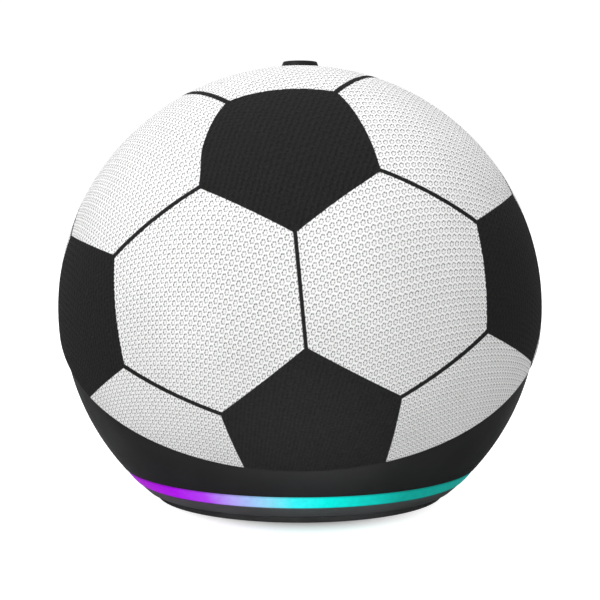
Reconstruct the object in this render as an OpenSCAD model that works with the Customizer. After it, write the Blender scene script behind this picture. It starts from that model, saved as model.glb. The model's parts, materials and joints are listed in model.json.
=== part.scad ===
// Ball-shaped smart speaker: a fabric dome over a perforated grille shell, a smooth lower housing,
// a light ring near the table, four push buttons on top and a front-firing loudspeaker inside.
// Millimetres, +Z up, front faces -Y. The origin is the centre of the foot pad's underside.

/* [Body] */
// Diameter of the fabric dome, the widest part
dome_d = 100; // [98:0.5:102]
// Height from the table to the top of the dome
body_h = 89; // [88.5:0.1:89.5]
// How far the smooth housing sits inside the fabric surface
fabric_step = 0.85; // [0.8:0.05:1]
// Forward tilt of the line where the dome meets the housing
split_tilt = 32.5; // [31:0.5:34]
// Width of the shadow gap on each side of that line
split_gap = 0.25; // [0.15:0.05:0.4]
// Thickness of the knitted fabric
fabric_t = 0.7; // [0.5:0.05:0.7]
// Wall of the grille shell under the fabric
grille_t = 1.8; // [1.6:0.1:1.9]
// Wall of the lower housing
housing_t = 2; // [1.6:0.1:2.2]

/* [Light ring and foot] */
// Height of the light ring's upper edge
ring_top = 6.2; // [6:0.05:6.3]
// Height of the light ring's lower edge
ring_bottom = 3.8; // [3.7:0.05:4]
// Outer radius of the light ring at its upper edge
ring_r_top = 36.5; // [35.5:0.1:36.6]
// Outer radius of the light ring at its lower edge
ring_r_bottom = 34.4; // [34:0.1:34.8]
// Radius of the rubber foot pad where it meets the table
foot_r = 29.9; // [28:0.1:30.5]
// Thickness of the rubber foot pad
foot_t = 1.3; // [1:0.1:1.4]
// Number of lights behind the ring
led_count = 12; // [8:4:16]

/* [Buttons] */
// Diameter of each button
button_d = 7.8; // [7:0.1:8.2]
// How far each button stands above the fabric
button_proud = 0.8; // [0.6:0.05:1.2]
// Travel of each button
button_travel = 0.5; // [0.3:0.05:0.5]
// Backward tilt of the button group
deck_tilt = 11.5; // [10:0.5:13]
// Angle from the group's centre to each button, seen from the middle of the ball
button_angle = 11; // [10.5:0.1:11.5]

/* [Loudspeaker] */
// Height of the loudspeaker's axis
driver_z = 41; // [40.5:0.1:41.5]
// Outer diameter of the loudspeaker's frame
driver_d = 41; // [40:0.5:41]
// Cone travel each way
cone_travel = 1.5; // [0.5:0.1:1.5]
// Outer radius of the sealed speaker box
box_r = 30; // [29.5:0.1:30]
// Diameter of the grille's sound holes
grille_hole_d = 2.6; // [2:0.1:3]
// Spacing of the grille's sound holes
grille_pitch = 4.2; // [4:0.1:6]

/* [Ports] */
// Height of both sockets' centres
port_z = 17.1; // [17:0.05:17.3]
// Distance of each socket from the middle plane
port_x = 8.5; // [8:0.1:9]
// Radius of the recess for the power plug's sleeve
power_recess_r = 4.4; // [4.2:0.1:4.6]
// Radius of the recess for the audio plug's sleeve
audio_recess_r = 3.7; // [3.5:0.05:3.9]
// Radius of the 3.5 mm audio socket
audio_bore_r = 1.8; // [1.78:0.01:1.85]
// Radius of the power socket's centre pin
power_pin_r = 0.825; // [0.8:0.005:0.85]

/* [Hidden] */

$fn = 96;
eps = 0.01;                                   // overcut that keeps cutters off shared faces
dome_r = dome_d / 2;
centre_z = body_h - dome_r;                   // centre of the ball
housing_r = dome_r - fabric_step;
housing_in = housing_r - housing_t;
grille_r = dome_r - fabric_t - 0.1;
grille_in = grille_r - grille_t;

// Flanges and screw posts along the split
flange_r = 44.5;
flange_lo = 0.6;
flange_hi = 2.6;
split_post_r = 43.6;
split_post_len = 8.4;
split_angles = [-35, 0, 55, 125, 180, 215];

// Base stack, as heights above the table
tape_top = foot_t + 0.3;
base_top = ring_bottom - 0.1;
ring_gap = 0.1;
led_z = 6.5;
led_h = 1.4;
led_ring_r = 31.2;
frame_z = 9.3;
frame_t = 1.5;
frame_r = 34;
base_post_r = 20;
base_screw_angles = [45, 135, 225, 315];

// Button deck, as distances from the ball's centre along the deck's own axis
deck_board_z = 39.2;
deck_board_t = 1;
deck_board_r = 17;
switch_w = 5.2;
switch_h = 1.6;
switch_z = deck_board_z + deck_board_t;
plunger_r = 1.2;
plunger_lo = switch_z + button_travel + 0.3;
plunger_hi = 42.4;
guide_z = 42.4;
guide_t = 1;
guide_r = 16;
stem_r = 1.6;
stem_top = 45.8;
button_r = button_d / 2;
button_lip = 0.4;                             // taper at the button's top edge
button_gap = 0.3;
button_flange_r = button_r + 0.55;
button_flange_lo = 46;
button_flange_t = 0.8;
switch_offset = 9;                            // from the deck's axis to each stem
mic_offset = 12;
mic_hole_r = 0.8;
deck_screw_offset = 14.3;
deck_screw_angles = [22.5, 112.5, 202.5, 292.5];
button_turns = [270, 0, 180, 90];             // front, right, left, rear

// Loudspeaker, as distances in front of the ball's centre
baffle_z = 27.5;
baffle_t = 2.5;
driver_hole_r = 18.6;
gasket_t = 0.6;
basket_z = baffle_z + baffle_t + gasket_t;
basket_t = 1;
basket_r = driver_d / 2;
box_t = 2;
box_split = 20;
box_back = -12;
ear_offset = 32.2;
ear_r = 3;
driver_ear = 21.8;
cross = [45, 135, 225, 315];
coil_in = 5.3;
coil_out = 5.7;
coil_back = 10 + cone_travel;                  // rear end of the coil, clear of the yoke at full travel
coil_front = 25.4;
cone_edge_r = 14.3;
roll_r = 1.5;

// Boards and sockets, as distances behind the ball's centre
board_y = 20;
board_t = 1.2;
board_z = [24, 64];
board_w = 52;
board_posts = [[-21, 28], [21, 28], [-21, 57], [21, 57]];
can_w = 24;
can_h = 20;
can_z = 44;
sink_y = 24.7;
io_z = 11.2;
io_t = 1.2;
jack_front = 35.2;
jack_z = io_z + io_t;

// ---------------------------------------------------------------- frames

// Centre of the ball
module at_centre() translate([0, 0, centre_z]) children();

// Axis square to the split plane, leaning forward
module split_frame() at_centre() rotate([split_tilt, 0, 0]) children();

// Axis of the button group, leaning back
module deck_frame() at_centre() rotate([-deck_tilt, 0, 0]) children();

// Loudspeaker axis: local +Z points to the front, local +Y points up
module driver_frame() translate([0, 0, driver_z]) rotate([90, 0, 0]) children();

// Place children at a radius and angle round the local axis
module polar(r, a) rotate([0, 0, a]) translate([r, 0, 0]) children();

// Place children along the ball's radius through one button's centre
module button_frame(turn) deck_frame() rotate([0, 0, turn]) rotate([0, button_angle, 0]) children();

// Place children on the deck under one button's stem
module switch_frame(turn) deck_frame() polar(switch_offset, turn) children();

// ---------------------------------------------------------------- shared shapes

module tube(r_out, r_in, h) {
    difference() {
        cylinder(r = r_out, h = h);
        translate([0, 0, -1]) cylinder(r = r_in, h = h + 2);
    }
}

// Hollow ball
module ball_shell(r_out, r_in) {
    difference() {
        sphere(r = r_out);
        sphere(r = r_in);
    }
}

// Half space above a height, wide enough for the whole object
module above(z) translate([-60, -60, z]) cube([120, 120, 120]);

// Half space below a height
module below(z) translate([-60, -60, z - 120]) cube([120, 120, 120]);

// Round-headed screw: the head's underside is at the origin and the shank points up
module screw(shank_r, shank_len, head_r, head_h) {
    difference() {
        union() {
            translate([0, 0, -eps]) cylinder(r = shank_r, h = shank_len + eps);
            translate([0, 0, -head_h]) cylinder(r = head_r, h = head_h);
        }
        for (turn = [0, 90]) {
            rotate([0, 0, turn])
                translate([-head_r * 0.6, -head_r * 0.11, -head_h - eps])
                    cube([head_r * 1.2, head_r * 0.22, head_h * 0.55]);
        }
    }
}

module box_between(low, high) translate(low) cube(high - low);

// Round wire that bends at each point of a route, with a bead that rounds off each bend
module wire(route, r) {
    bead_r = r * 1.15;
    for (i = [0:len(route) - 2]) {
        step = route[i + 1] - route[i];
        reach = norm(step);
        tip = acos(step[2] / reach);
        turn = atan2(step[1], step[0]);
        translate(route[i]) rotate([0, tip, turn]) cylinder(r = r, h = reach, $fn = 24);
        if (i > 0) translate(route[i]) sphere(r = bead_r, $fn = 24);
    }
}

// Flat cable: a route in the Y-Z plane, given a width along X and a thickness along Y
module ribbon(route, width, thick) {
    back = [for (i = [len(route) - 1:-1:0]) route[i] + [thick, thick * 0.6]];
    rotate([90, 0, 90]) linear_extrude(height = width) polygon(concat(route, back));
}

// ---------------------------------------------------------------- outside

// Every hole that the buttons and microphones need through the dome
module deck_holes(clear) {
    for (turn = button_turns)
        button_frame(turn) translate([0, 0, 44]) cylinder(r = button_r + clear, h = 10);
}

module fabric_cover() {
    color("white") difference() {
        intersection() {
            at_centre() ball_shell(dome_r, dome_r - fabric_t);
            split_frame() above(split_gap);
        }
        deck_holes(button_gap);
    }
}

// Hexagonal grid of sound holes in front of the loudspeaker
module sound_holes() {
    rows = floor(18 / (grille_pitch * 0.866));
    for (row = [-rows:rows]) {
        y = row * grille_pitch * 0.866;
        shift = (abs(row) % 2) * grille_pitch / 2;
        for (col = [-5:5]) {
            x = col * grille_pitch + shift;
            if (norm([x, y]) < 18.5)
                driver_frame() translate([x, y, 36]) cylinder(r = grille_hole_d / 2, h = 16, $fn = 24);
        }
    }
}

module grille_shell() {
    color("dimgray") difference() {
        union() {
            intersection() {
                at_centre() ball_shell(grille_r, grille_in);
                split_frame() above(flange_lo);
            }
            split_frame() intersection() {
                translate([0, 0, flange_lo]) tube(grille_in + 0.5, flange_r, flange_hi - flange_lo);
                sphere(r = grille_r - 0.5);
            }
            intersection() {
                split_frame() {
                    for (a = split_angles)
                        polar(split_post_r, a) translate([0, 0, flange_lo]) cylinder(r = 2.4, h = 7);
                }
                at_centre() sphere(r = grille_r - 0.5);
            }
            intersection() {
                deck_frame() {
                    for (a = deck_screw_angles)
                        polar(deck_screw_offset, a)
                            translate([0, 0, guide_z + guide_t + 0.1]) cylinder(r = 2.2, h = 6);
                }
                at_centre() sphere(r = grille_r - 0.5);
            }
        }
        deck_holes(button_gap);
        deck_frame() {
            for (a = cross) polar(mic_offset, a) translate([0, 0, 44]) cylinder(r = mic_hole_r, h = 8);
            for (a = deck_screw_angles)
                polar(deck_screw_offset, a)
                    translate([0, 0, guide_z]) cylinder(r = 0.95, h = 3);
        }
        split_frame() {
            for (a = split_angles) polar(split_post_r, a) cylinder(r = 1.25, h = 6);
        }
        sound_holes();
    }
}

module port_tunnel(x, r, from, to) {
    translate([x, to, port_z]) rotate([90, 0, 0]) cylinder(r = r, h = to - from);
}

module lower_housing() {
    color([0.09, 0.09, 0.1]) difference() {
        union() {
            intersection() {
                at_centre() ball_shell(housing_r, housing_in);
                split_frame() below(-split_gap);
                above(ring_top + ring_gap);
            }
            split_frame() intersection() {
                translate([0, 0, -flange_hi]) tube(housing_in + 0.5, flange_r, flange_hi - flange_lo);
                sphere(r = housing_r - 0.6);
            }
            intersection() {
                split_frame() {
                    for (a = split_angles)
                        polar(split_post_r, a)
                            translate([0, 0, -split_post_len - flange_lo])
                                cylinder(r = 2.4, h = split_post_len);
                }
                at_centre() sphere(r = housing_r - 0.6);
            }
            intersection() {
                union() {
                    port_tunnel(-port_x, power_recess_r + 1.4, jack_front + 0.2, 50);
                    port_tunnel(port_x, audio_recess_r + 1.4, jack_front + 0.2, 50);
                }
                at_centre() sphere(r = housing_r - 0.6);
            }
        }
        port_tunnel(-port_x, power_recess_r, 30, 60);
        port_tunnel(port_x, audio_recess_r, 30, 60);
        split_frame() {
            for (a = split_angles)
                polar(split_post_r, a) translate([0, 0, -12]) cylinder(r = 1.4, h = 14);
        }
    }
}

module light_ring() {
    color("turquoise") translate([0, 0, ring_bottom]) difference() {
        cylinder(r1 = ring_r_bottom, r2 = ring_r_top, h = ring_top - ring_bottom);
        translate([0, 0, -1]) cylinder(r = 30, h = 5);
    }
}

module ring_reflector() {
    color("white") translate([0, 0, ring_bottom]) tube(29.9, 27.6, ring_top - ring_bottom);
}

module base_cover() {
    color([0.2, 0.2, 0.21]) difference() {
        union() {
            intersection() {
                at_centre() sphere(r = housing_r);
                box_between([-60, -60, tape_top], [60, 60, base_top]);
            }
            translate([0, 0, tape_top + 0.5]) tube(27.4, 26.2, 3.2);
        }
        for (a = base_screw_angles) {
            polar(base_post_r, a) {
                cylinder(r = 1.4, h = 10);
                translate([0, 0, tape_top - 1]) cylinder(r = 2.5, h = 2.1);
            }
        }
    }
}

module foot_pad() {
    color([0.17, 0.17, 0.17]) difference() {
        rotate_extrude() polygon([
            [0, 0], [foot_r - 0.5, 0], [foot_r, 0.4], [foot_r + 0.6, foot_t], [0, foot_t]
        ]);
        translate([0, 0, -1]) tube(foot_r - 2.6, foot_r - 3.8, 1.3);
    }
}

module foot_tape() {
    color("gainsboro") translate([0, 0, foot_t]) cylinder(r = 28.4, h = tape_top - foot_t);
}

// ---------------------------------------------------------------- buttons

// Cap that follows the ball's curve, with a retaining flange and a stem to its switch
module button(turn) {
    button_frame(turn) intersection() {
        union() {
            translate([0, 0, button_flange_lo]) cylinder(r = button_r, h = dome_r - button_flange_lo);
            translate([0, 0, button_flange_lo]) cylinder(r = button_flange_r, h = button_flange_t);
            translate([0, 0, dome_r - eps])
                cylinder(r1 = button_r, r2 = button_r - button_lip, h = button_proud + 0.3);
        }
        sphere(r = dome_r + button_proud);
    }
    switch_frame(turn) translate([0, 0, plunger_hi]) cylinder(r = stem_r, h = stem_top - plunger_hi);
}

module action_button() color([0.12, 0.12, 0.12]) button(button_turns[0]);
module volume_up_button() color([0.12, 0.12, 0.12]) button(button_turns[1]);
module volume_down_button() color([0.12, 0.12, 0.12]) button(button_turns[2]);
module microphone_button() color([0.12, 0.12, 0.12]) button(button_turns[3]);

module plunger(turn) {
    switch_frame(turn) translate([0, 0, plunger_lo]) cylinder(r = plunger_r, h = plunger_hi - plunger_lo);
}

module action_plunger() color("ivory") plunger(button_turns[0]);
module volume_up_plunger() color("ivory") plunger(button_turns[1]);
module volume_down_plunger() color("ivory") plunger(button_turns[2]);
module microphone_plunger() color("ivory") plunger(button_turns[3]);

module tact_switches() {
    color("silver") for (turn = button_turns) {
        switch_frame(turn) difference() {
            translate([-switch_w / 2, -switch_w / 2, switch_z]) cube([switch_w, switch_w, switch_h]);
            translate([0, 0, switch_z + 0.15]) cylinder(r = plunger_r + 0.1, h = switch_h);
        }
    }
}

module button_board() {
    color("darkgreen") deck_frame() difference() {
        translate([0, 0, deck_board_z]) cylinder(r = deck_board_r, h = deck_board_t);
        for (a = deck_screw_angles)
            polar(deck_screw_offset, a) translate([0, 0, 38]) cylinder(r = 1.1, h = 4);
    }
}

module button_guide() {
    color("gray") deck_frame() difference() {
        union() {
            translate([0, 0, guide_z]) cylinder(r = guide_r, h = guide_t);
            for (a = deck_screw_angles)
                polar(deck_screw_offset, a) translate([0, 0, switch_z])
                    cylinder(r = 2.2, h = guide_z - switch_z + eps);
        }
        for (turn = button_turns)
            polar(switch_offset, turn) translate([0, 0, 41]) cylinder(r = stem_r + 0.35, h = 4);
        for (a = cross) polar(mic_offset, a) translate([0, 0, 41]) cylinder(r = 2, h = 4);
        for (a = deck_screw_angles)
            polar(deck_screw_offset, a) translate([0, 0, 38]) cylinder(r = 1.1, h = 8);
    }
}

module microphones() {
    color("goldenrod") deck_frame() {
        for (a = cross) polar(mic_offset, a) translate([-1.75, -1.3, switch_z]) cube([3.5, 2.6, 1]);
    }
}

module mic_gaskets() {
    color([0.15, 0.15, 0.15]) for (a = cross) {
        intersection() {
            deck_frame() polar(mic_offset, a) translate([0, 0, switch_z + 1.05]) tube(1.8, mic_hole_r, 6);
            at_centre() sphere(r = grille_in - 0.1);
        }
    }
}

// ---------------------------------------------------------------- base

module inner_frame() {
    color("dimgray") difference() {
        union() {
            translate([0, 0, frame_z]) cylinder(r = frame_r, h = frame_t);
            for (a = base_screw_angles)
                polar(base_post_r, a) translate([0, 0, base_top + 0.1])
                    cylinder(r = 3, h = frame_z - base_top);
            for (y = [-22, 2]) translate([-17, y, frame_z + frame_t - eps]) cube([34, 3, 9]);
            for (x = [-12, 12], y = [19, 30])
                translate([x, y, frame_z + frame_t - eps]) cylinder(r = 2, h = io_z - frame_z - frame_t);
        }
        driver_frame() translate([0, 0, -20]) cylinder(r = box_r + 0.2, h = 60);
        for (a = base_screw_angles) polar(base_post_r, a) cylinder(r = 1.15, h = frame_z);
        translate([-9.9, 13.5, frame_z - 1]) cube([8.4, 2, 4]);
    }
}

module led_board() {
    color("darkgreen") translate([0, 0, led_z + led_h]) {
        tube(33.4, 26, 1.2);
        translate([-9.5, 14, 0]) cube([7.8, 12.5, 1.2]);
    }
}

module leds() {
    color("lightyellow") for (i = [0:led_count - 1])
        polar(led_ring_r, (i + 0.5) * 360 / led_count)
            translate([-1.5, -1.5, led_z]) cube([3, 3, led_h]);
}

// ---------------------------------------------------------------- loudspeaker

module speaker_box_front() {
    color([0.16, 0.16, 0.17]) driver_frame() difference() {
        union() {
            translate([0, 0, baffle_z]) cylinder(r = box_r, h = baffle_t);
            translate([0, 0, box_split + 0.2]) tube(box_r, box_r - box_t, baffle_z - box_split);
            for (a = cross) {
                polar(ear_offset, a) translate([0, 0, box_split + 0.2]) cylinder(r = ear_r, h = 5);
                polar(driver_ear, a) translate([0, 0, baffle_z - 4]) cylinder(r = 2.6, h = 4.5);
            }
        }
        translate([0, 0, 20]) cylinder(r = driver_hole_r, h = 20);
        for (a = cross) {
            polar(ear_offset, a) translate([0, 0, box_split]) cylinder(r = 1.15, h = 4.2);
            polar(driver_ear, a) translate([0, 0, baffle_z - 3]) cylinder(r = 1.05, h = 7);
        }
    }
}

module speaker_box_rear() {
    color([0.16, 0.16, 0.17]) driver_frame() difference() {
        union() {
            translate([0, 0, box_back]) cylinder(r = box_r, h = box_split - 0.2 - box_back);
            for (a = cross)
                polar(ear_offset, a) translate([0, 0, box_split - 6]) cylinder(r = ear_r, h = 5.7);
            for (p = board_posts)
                translate([p[0], p[1] - driver_z, -board_y])
                    cylinder(r = 2.2, h = board_y + box_back + 1);
        }
        translate([0, 0, box_back + box_t]) cylinder(r = box_r - box_t, h = 60);
        for (a = cross) polar(ear_offset, a) translate([0, 0, 10]) cylinder(r = 1.4, h = 12);
        for (p = board_posts)
            translate([p[0], p[1] - driver_z, -board_y - 1]) cylinder(r = 1.05, h = 7);
        for (x = [-2, 2]) translate([x, 9, box_back - 1]) cylinder(r = 0.85, h = 4);
    }
}

module box_seal() {
    color([0.3, 0.3, 0.3]) driver_frame()
        translate([0, 0, box_split - 0.2]) tube(box_r - 0.3, box_r - box_t + 0.3, 0.4);
}

module damping_foam() {
    color("slategray") driver_frame()
        translate([0, 0, box_back + box_t + 0.1]) difference() {
            cylinder(r = box_r - box_t - 0.5, h = 8);
            for (x = [-2, 2]) translate([x, 9, -1]) cylinder(r = 1.2, h = 12);
        }
}

module driver_gasket() {
    color([0.12, 0.12, 0.12]) driver_frame()
        translate([0, 0, baffle_z + baffle_t]) tube(basket_r, driver_hole_r + 0.2, gasket_t);
}

module driver_basket() {
    wall = [
        [6.3, 16], [13.2, 16], [18.3, 28], [18.3, basket_z], [basket_r, basket_z],
        [basket_r, basket_z + basket_t], [17.4, basket_z + basket_t], [17.4, 28.2],
        [12.6, 16.8], [6.3, 16.8]
    ];
    color("lightsteelblue") driver_frame() difference() {
        union() {
            rotate_extrude() polygon(wall);
            for (a = cross)
                polar(driver_ear, a) translate([0, 0, basket_z]) cylinder(r = 2.6, h = basket_t);
        }
        translate([0, 0, basket_z - 1]) cylinder(r = 17.4, h = 4);
        for (a = cross) {
            polar(driver_ear, a) translate([0, 0, basket_z - 1]) cylinder(r = 1.2, h = 4);
            rotate([0, 0, a + 45]) translate([10, -3.5, 18.5]) cube([10, 7, 7.5]);
        }
    }
}

module driver_magnet() {
    color([0.25, 0.25, 0.27]) driver_frame() translate([0, 0, 8]) tube(15, 7.2, 5.5);
}

module driver_top_plate() {
    color("silver") driver_frame() translate([0, 0, 13.5]) tube(14, 6.1, 2.5);
}

module driver_yoke() {
    color("silver") driver_frame() difference() {
        union() {
            translate([0, 0, 5]) cylinder(r = 14, h = 3);
            translate([0, 0, 7]) cylinder(r = 4.9, h = 9.2);
        }
        cylinder(r = 1.5, h = 20);
    }
}

module voice_coil() {
    color("peru") driver_frame()
        translate([0, 0, coil_back]) tube(coil_out, coil_in, coil_front - coil_back);
}

// Corrugated disc that centres the voice coil
module spider() {
    folds = 10;
    inner = coil_out + 0.1;
    step = (13.3 - inner) / folds;
    crest = [for (i = [0:folds]) [inner + i * step, 19 + (i % 2) * 0.7]];
    under = [for (i = [folds:-1:0]) crest[i] - [0, 0.3]];
    color("darkkhaki") driver_frame() rotate_extrude() polygon(concat(crest, under));
}

module speaker_cone() {
    color([0.1, 0.1, 0.1]) driver_frame() rotate_extrude() polygon([
        [coil_out + 0.05, 24.6], [cone_edge_r, 31.2], [cone_edge_r, 31.6], [coil_out + 0.05, 25.1]
    ]);
}

// Half-roll rubber edge with flat lips glued to the frame and to the cone
module surround() {
    roll_mid = cone_edge_r + roll_r + 0.1;
    lip_z = basket_z + basket_t;
    color([0.08, 0.08, 0.08]) driver_frame() rotate_extrude() union() {
        intersection() {
            translate([roll_mid, lip_z]) difference() {
                circle(r = roll_r + 0.15);
                circle(r = roll_r - 0.15);
            }
            translate([roll_mid - 3, lip_z + 0.05]) square([6, 3]);
        }
        translate([roll_mid + roll_r - 0.1, lip_z + 0.02]) square([1.9, 0.3]);
        translate([cone_edge_r - 1, lip_z + 0.05]) square([1.2, 0.3]);
    }
}

module dust_cap() {
    color([0.07, 0.07, 0.07]) driver_frame() translate([0, 0, 20.4]) rotate_extrude() intersection() {
        difference() {
            circle(r = 8);
            circle(r = 7.6);
        }
        translate([0, 5.3]) square([7, 4]);
    }
}

// Two insulated wires from the loudspeaker's terminals, through the box, to the main board
module speaker_wires() {
    for (x = [-2, 2]) {
        route = [
            [x, -18, driver_z + 16], [x, -6, driver_z + 18], [x, 0.5, driver_z + 9],
            [x, 18.4, driver_z + 9]
        ];
        color(x < 0 ? "red" : "black") wire(route, 0.6);
    }
}

// ---------------------------------------------------------------- electronics

module main_board() {
    color("darkgreen") difference() {
        box_between([-board_w / 2, board_y, board_z[0]], [board_w / 2, board_y + board_t, board_z[1]]);
        for (p = board_posts)
            translate([p[0], board_y + 3, p[1]]) rotate([90, 0, 0]) cylinder(r = 1.2, h = 6);
    }
}

module board_chips() {
    front_y = board_y - 1.3;
    rear_y = board_y + board_t;
    color([0.1, 0.1, 0.1]) {
        box_between([-17, front_y, 36], [-8, board_y, 46]);
        box_between([8, front_y, 34], [15, board_y, 41]);
        box_between([-16, front_y, 52], [-9, board_y, 57]);
        box_between([-24, rear_y, 42], [-18, rear_y + 1.2, 50]);
        box_between([15, rear_y, 36], [20, rear_y + 1.2, 42]);
    }
}

module board_connectors() {
    front_y = board_y - 1.6;
    color("ivory") {
        box_between([-4, front_y, driver_z + 7.5], [4, board_y, driver_z + 11.5]);
        box_between([-4.5, board_y - 1.5, 60], [4.5, board_y, 63]);
        box_between([-9.7, board_y - 1.5, 30.5], [-1.7, board_y, 33.5]);
    }
}

module shield_can() {
    y = board_y + board_t;
    color("silver") difference() {
        box_between([-can_w / 2, y, can_z - can_h / 2], [can_w / 2, y + 2.5, can_z + can_h / 2]);
        box_between([-can_w / 2 + 0.3, y - 1, can_z - can_h / 2 + 0.3],
                    [can_w / 2 - 0.3, y + 2.2, can_z + can_h / 2 - 0.3]);
    }
}

module thermal_pad() {
    color("lightblue") box_between([-9, sink_y - 1, can_z - 8], [9, sink_y, can_z + 8]);
}

module heat_sink() {
    fins = 8;
    color("gainsboro") difference() {
        union() {
            box_between([-17, sink_y, can_z - 14], [17, sink_y + 2, can_z + 14]);
            for (i = [0:fins - 1])
                translate([-16.5 + i * 31.8 / (fins - 1), sink_y + 2 - eps, can_z - 14])
                    cube([1.2, 6.3, 28]);
            for (z = [-12, 12])
                translate([0, sink_y + 1, can_z + z]) rotate([90, 0, 0])
                    cylinder(r = 1.8, h = sink_y + 1 - board_y - board_t - 0.05);
        }
    }
}

module io_board() {
    color("darkgreen") box_between([-16, 16, io_z], [16, 34, io_z + io_t]);
}

module power_jack() {
    color([0.08, 0.08, 0.08]) difference() {
        box_between([-port_x - 4.5, 20.5, jack_z], [-port_x + 4.5, jack_front, jack_z + 9]);
        translate([-port_x, jack_front + 1, port_z]) rotate([90, 0, 0]) cylinder(r = 2.1, h = 10.5);
    }
}

module power_pin() {
    color("silver") translate([-port_x, jack_front - 1, port_z]) rotate([90, 0, 0])
        cylinder(r = power_pin_r, h = 8.5);
}

module audio_jack() {
    nose = 3.2;
    color([0.08, 0.08, 0.08]) difference() {
        union() {
            box_between([port_x - 3.6, 21.5, jack_z], [port_x + 3.6, jack_front, jack_z + 7.8]);
            translate([port_x, jack_front + nose, port_z]) rotate([90, 0, 0])
                cylinder(r = 3, h = nose + eps);
        }
        translate([port_x, jack_front + nose + 1, port_z]) rotate([90, 0, 0])
            cylinder(r = audio_bore_r, h = 15.5);
    }
}

module button_ribbon() {
    color("orange") translate([-4, 0, 0])
        ribbon([[17.2, 62.2], [17.4, 64.5], [16.2, 68], [16, 71.5], [17.3, 74.8]], 8, 0.15);
}

module led_ribbon() {
    color("orange") translate([-9.2, 0, 0])
        ribbon([[14.5, 9.15], [14.3, 18], [15.6, 24], [17.2, 28], [18.2, 31]], 7, 0.15);
}

module wifi_antennas() {
    color("sienna") for (x = [-23, 11]) box_between([x, 12.05, 36], [x + 12, 12.45, 46]);
}

// ---------------------------------------------------------------- fasteners

module split_screws() {
    color("dimgray") split_frame() {
        for (a = split_angles)
            polar(split_post_r, a) translate([0, 0, -split_post_len - flange_lo - 0.05])
                screw(1.15, 13.5, 2.2, 1.4);
    }
}

module base_screws() {
    color("dimgray") for (a = base_screw_angles)
        polar(base_post_r, a) translate([0, 0, tape_top + 1.08]) screw(1.1, 6, 2.2, 1);
}

module deck_screws() {
    color("dimgray") deck_frame() {
        for (a = deck_screw_angles)
            polar(deck_screw_offset, a) translate([0, 0, deck_board_z - 0.02]) screw(0.9, 5.8, 1.8, 1.1);
    }
}

module box_screws() {
    color("dimgray") driver_frame() {
        for (a = cross)
            polar(ear_offset, a) translate([0, 0, box_split - 6.02]) screw(1.1, 10, 2, 1.2);
    }
}

module driver_screws() {
    color("dimgray") driver_frame() {
        for (a = cross)
            polar(driver_ear, a) translate([0, 0, basket_z + basket_t + 0.02]) mirror([0, 0, 1])
                screw(1, 7, 1.9, 1.1);
    }
}

module board_screws() {
    color("dimgray") for (p = board_posts)
        translate([p[0], board_y + board_t + 0.02, p[1]]) rotate([90, 0, 0]) screw(1, 6, 1.9, 1.1);
}

// ---------------------------------------------------------------- drawing

fabric_cover();
grille_shell();
lower_housing();
light_ring();
ring_reflector();
base_cover();
foot_pad();
foot_tape();
action_button();
volume_up_button();
volume_down_button();
microphone_button();
action_plunger();
volume_up_plunger();
volume_down_plunger();
microphone_plunger();
tact_switches();
button_board();
button_guide();
microphones();
mic_gaskets();
inner_frame();
led_board();
leds();
speaker_box_front();
speaker_box_rear();
box_seal();
damping_foam();
driver_gasket();
driver_basket();
driver_magnet();
driver_top_plate();
driver_yoke();
voice_coil();
spider();
speaker_cone();
surround();
dust_cap();
speaker_wires();
main_board();
board_chips();
board_connectors();
shield_can();
thermal_pad();
heat_sink();
io_board();
power_jack();
power_pin();
audio_jack();
button_ribbon();
led_ribbon();
wifi_antennas();
split_screws();
base_screws();
deck_screws();
box_screws();
driver_screws();
board_screws();
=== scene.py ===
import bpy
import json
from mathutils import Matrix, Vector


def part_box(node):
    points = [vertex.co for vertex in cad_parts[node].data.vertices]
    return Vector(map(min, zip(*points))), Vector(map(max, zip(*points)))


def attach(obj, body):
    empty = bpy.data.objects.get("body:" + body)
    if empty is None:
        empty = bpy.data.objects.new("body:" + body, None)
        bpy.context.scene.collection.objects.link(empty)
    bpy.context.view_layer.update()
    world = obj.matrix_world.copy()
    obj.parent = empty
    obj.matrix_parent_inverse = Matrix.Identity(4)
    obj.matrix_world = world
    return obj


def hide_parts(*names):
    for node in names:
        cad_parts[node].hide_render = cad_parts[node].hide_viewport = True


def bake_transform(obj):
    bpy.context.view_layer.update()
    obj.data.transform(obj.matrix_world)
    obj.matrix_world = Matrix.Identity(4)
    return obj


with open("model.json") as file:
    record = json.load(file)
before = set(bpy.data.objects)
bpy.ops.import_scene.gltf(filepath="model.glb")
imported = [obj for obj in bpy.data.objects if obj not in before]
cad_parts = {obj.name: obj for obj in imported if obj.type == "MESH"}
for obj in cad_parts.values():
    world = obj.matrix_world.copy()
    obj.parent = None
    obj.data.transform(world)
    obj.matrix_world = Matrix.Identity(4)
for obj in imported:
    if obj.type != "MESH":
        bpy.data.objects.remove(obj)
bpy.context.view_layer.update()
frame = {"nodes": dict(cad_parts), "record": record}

import json
import math

import bpy
import numpy as np
from mathutils import Matrix, Vector

# ------------------------------------------------------------------ sizes, in metres

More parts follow.
